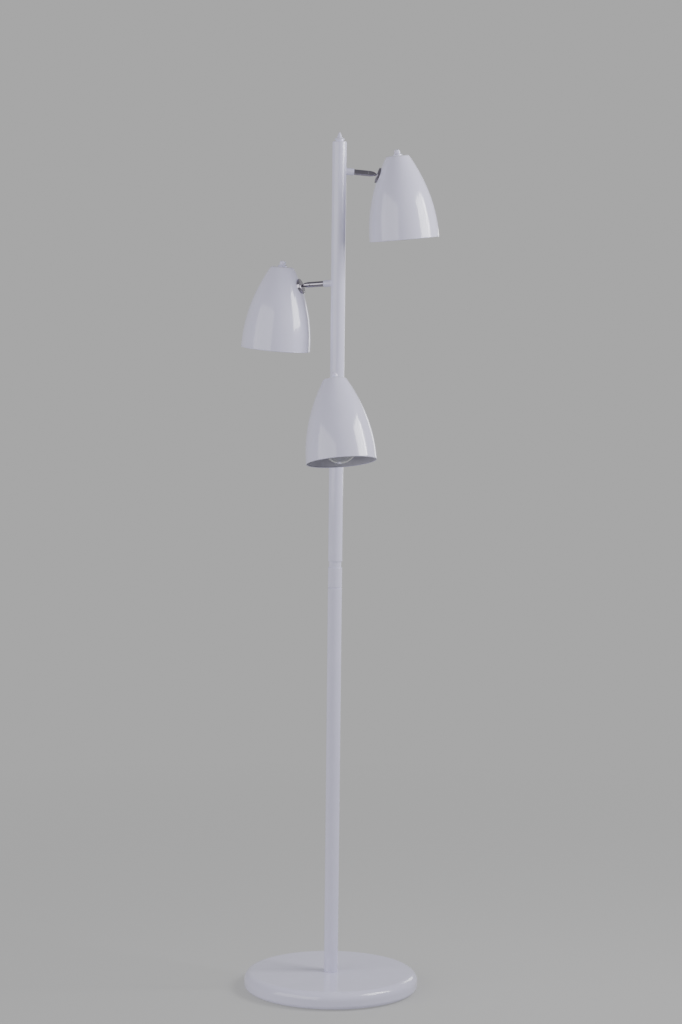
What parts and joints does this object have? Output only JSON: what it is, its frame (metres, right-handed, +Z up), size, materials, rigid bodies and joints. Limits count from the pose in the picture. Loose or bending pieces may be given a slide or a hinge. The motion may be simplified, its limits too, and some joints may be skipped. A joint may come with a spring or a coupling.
{
  "type": "adjustable arm floor lamp",
  "caption": "Floor lamp with a round weighted base, a two-piece pole and swivelling bell-shaped spot heads on short arms.",
  "frame": {"origin": "on the floor, under the centre of the round base, on the pole's axis", "axes": "+Z up along the pole; -Y is the front, where the lower arm points; the upper arm points to +X"},
  "size_m": [0.3465, 0.3469, 1.522],
  "materials": {
    "white_enamel": "white gloss baked enamel on steel, cool white",
    "chrome_plate": "bright chrome plating",
    "zinc_steel": "zinc-plated steel",
    "cast_weight": "raw casting, painted dark",
    "floor_foam": "dense black foam",
    "black_moulding": "soft black moulding",
    "white_moulding": "white gloss moulding",
    "holder_moulding": "white heat-resistant moulding",
    "contact_brass": "pressed brass",
    "bulb_glass": "clear blown glass",
    "cap_metal": "pressed aluminium screw cap",
    "stem_and_filament": "glass stem with fine metal wires",
    "wire_insulation": "soft insulated wire"
  },
  "bodies": {
    "stand": {"base_pad": "floor_foam", "base_weight": "cast_weight", "base_cover": "white_enamel", "cord_grommet": "black_moulding", "base_stud": "zinc_steel", "base_washer": "zinc_steel", "base_nut": "zinc_steel", "foot_bush": "zinc_steel", "lower_pole": "white_enamel", "coupling_socket": "white_enamel", "coupling_screw": "white_enamel", "upper_pole": "white_enamel", "pole_finial": "white_enamel", "pole_wiring": "wire_insulation", "upper_arm_boss": "white_enamel", "upper_arm_tube": "chrome_plate", "middle_arm_boss": "white_enamel", "middle_arm_tube": "chrome_plate", "lower_arm_boss": "white_enamel", "lower_arm_tube": "chrome_plate"},
    "upper_swivel": {"upper_swivel_collar": "chrome_plate"},
    "upper_head": {"upper_ball_stud": "chrome_plate", "upper_swivel_flange": "chrome_plate", "upper_stud_nut": "zinc_steel", "upper_shade": "white_enamel", "upper_ring_nut": "white_enamel", "upper_lampholder": "holder_moulding", "upper_holder_contacts": "contact_brass", "upper_bulb_glass": "bulb_glass", "upper_bulb_cap": "cap_metal", "upper_bulb_filament": "stem_and_filament", "upper_head_wire": "wire_insulation"},
    "upper_knob": {"upper_switch_knob": "white_moulding"},
    "middle_swivel": {"middle_swivel_collar": "chrome_plate"},
    "middle_head": {"middle_ball_stud": "chrome_plate", "middle_swivel_flange": "chrome_plate", "middle_stud_nut": "zinc_steel", "middle_shade": "white_enamel", "middle_ring_nut": "white_enamel", "middle_lampholder": "holder_moulding", "middle_holder_contacts": "contact_brass", "middle_bulb_glass": "bulb_glass", "middle_bulb_cap": "cap_metal", "middle_bulb_filament": "stem_and_filament", "middle_head_wire": "wire_insulation"},
    "middle_knob": {"middle_switch_knob": "white_moulding"},
    "lower_swivel": {"lower_swivel_collar": "chrome_plate"},
    "lower_head": {"lower_ball_stud": "chrome_plate", "lower_swivel_flange": "chrome_plate", "lower_stud_nut": "zinc_steel", "lower_shade": "white_enamel", "lower_ring_nut": "white_enamel", "lower_lampholder": "holder_moulding", "lower_holder_contacts": "contact_brass", "lower_bulb_glass": "bulb_glass", "lower_bulb_cap": "cap_metal", "lower_bulb_filament": "stem_and_filament", "lower_head_wire": "wire_insulation"},
    "lower_knob": {"lower_switch_knob": "white_moulding"}
  },
  "joints": [
    {"name": "upper_arm_turn", "type": "hinge", "parent": "stand", "child": "upper_swivel", "pos_m": [0.06027, 0, 1.45023], "axis": [0.9962, 0, -0.0872], "range_deg": [-170, 170]},
    {"name": "upper_head_tilt", "type": "hinge", "parent": "upper_swivel", "child": "upper_head", "pos_m": [0.06027, 0, 1.45023], "axis": [0, -1, 0], "range_deg": [-17, 60]},
    {"name": "upper_switch_turn", "type": "hinge", "parent": "upper_head", "child": "upper_knob", "pos_m": [0.10018, 0, 1.49035], "axis": [-0.0958, 0, 0.9954], "continuous": true},
    {"name": "middle_arm_turn", "type": "hinge", "parent": "stand", "child": "middle_swivel", "pos_m": [-0.05822, 0.0156, 1.25573], "axis": [-0.9623, 0.2578, -0.0872], "range_deg": [-170, 170]},
    {"name": "middle_head_tilt", "type": "hinge", "parent": "middle_swivel", "child": "middle_head", "pos_m": [-0.05822, 0.0156, 1.25573], "axis": [0.2588, 0.9659, 0], "range_deg": [-16, 61]},
    {"name": "middle_switch_turn", "type": "hinge", "parent": "middle_head", "child": "middle_knob", "pos_m": [-0.09743, 0.02611, 1.29514], "axis": [0.0758, -0.0203, 0.9969], "continuous": true},
    {"name": "lower_arm_turn", "type": "hinge", "parent": "stand", "child": "lower_swivel", "pos_m": [0, -0.06027, 1.06123], "axis": [0, -0.9962, -0.0872], "range_deg": [-170, 170]},
    {"name": "lower_head_tilt", "type": "hinge", "parent": "lower_swivel", "child": "lower_head", "pos_m": [0, -0.06027, 1.06123], "axis": [-0.9956, 0.0082, -0.0937], "range_deg": [-25, 52]},
    {"name": "lower_switch_turn", "type": "hinge", "parent": "lower_head", "child": "lower_knob", "pos_m": [-0.00452, -0.09419, 1.1063], "axis": [-0.0892, 0.2338, 0.9682], "continuous": true}
  ]
}
